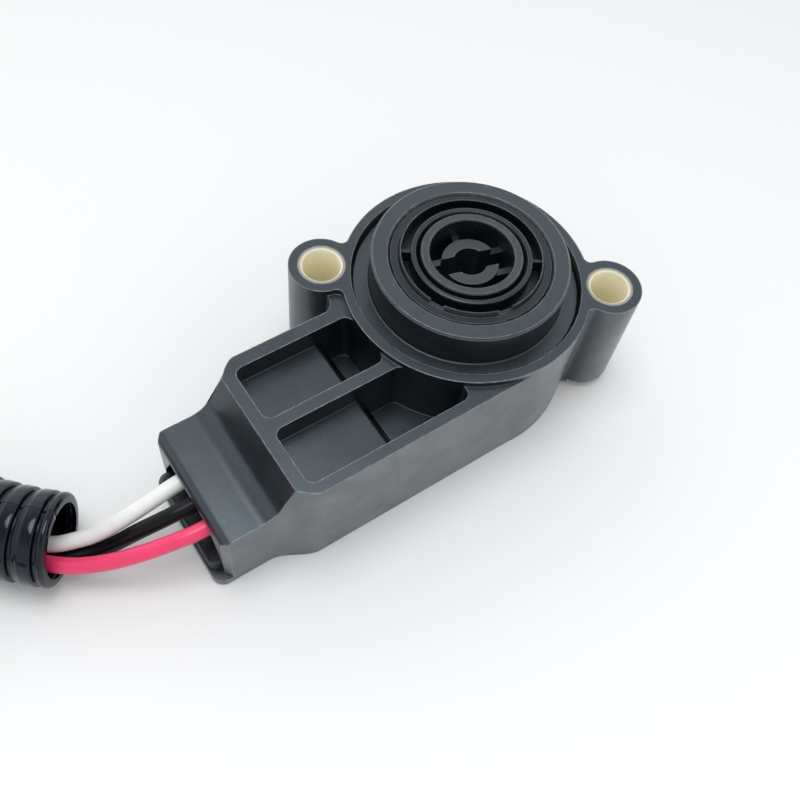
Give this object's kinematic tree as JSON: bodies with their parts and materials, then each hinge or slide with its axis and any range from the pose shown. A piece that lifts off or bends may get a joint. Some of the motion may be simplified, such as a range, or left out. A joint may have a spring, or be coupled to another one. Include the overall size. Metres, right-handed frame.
{
  "type": "rotary position sensor",
  "caption": "Rotary position sensor with a piloted face, driven hub, bolt-through ears and a short wired lead in corrugated conduit.",
  "frame": {"origin": "on the rotor's axis, in the plane of the flat base", "axes": "+Z along the rotor's axis towards the pilot collar; the arm and the lead leave along -Y"},
  "size_m": [0.133, 0.2301, 0.0292],
  "materials": {
    "black_plastic": "satin, faintly mottled glass-filled nylon",
    "rotor_plastic": "satin",
    "grey_plastic": "satin",
    "plated_metal": "yellow passivated",
    "steel": "bright",
    "magnet": "nickel plated",
    "board": "solder mask",
    "chip": "moulded",
    "tinned_brass": "tinned",
    "black_rubber": "matt",
    "seal_rubber": "matt silicone",
    "white_insulation": "satin",
    "black_insulation": "satin",
    "red_insulation": "satin",
    "conduit_plastic": "glossy, corrugated",
    "plug_plastic": "satin",
    "lock_plastic": "satin"
  },
  "bodies": {
    "sensor": {"housing": "black_plastic", "bushing_left": "plated_metal", "bushing_right": "plated_metal", "front_cover": "black_plastic", "cover_seal": "black_rubber", "bearing_ring": "black_plastic", "return_spring": "steel", "circuit_board": "board", "hall_sensor": "chip", "board_components": "chip", "terminals": "tinned_brass", "rear_cover": "black_plastic", "wire_seal": "black_rubber", "wire_retainer": "grey_plastic", "wire_white": "white_insulation", "wire_black": "black_insulation", "wire_red": "red_insulation", "conduit": "conduit_plastic", "plug_shell": "plug_plastic", "plug_lock": "lock_plastic", "plug_seal": "seal_rubber", "plug_terminals": "tinned_brass"},
    "hub": {"rotor": "rotor_plastic", "magnet": "magnet", "magnet_keeper": "steel"}
  },
  "joints": [
    {"name": "rotor_turn", "type": "hinge", "parent": "sensor", "child": "hub", "pos_m": [0, 0, 0.02], "axis": [0, 0, 1], "range_deg": [0, 90], "stiffness_Nm_per_rad": 0.01, "springref_deg": -28.65, "deforming": ["return_spring"]}
  ]
}
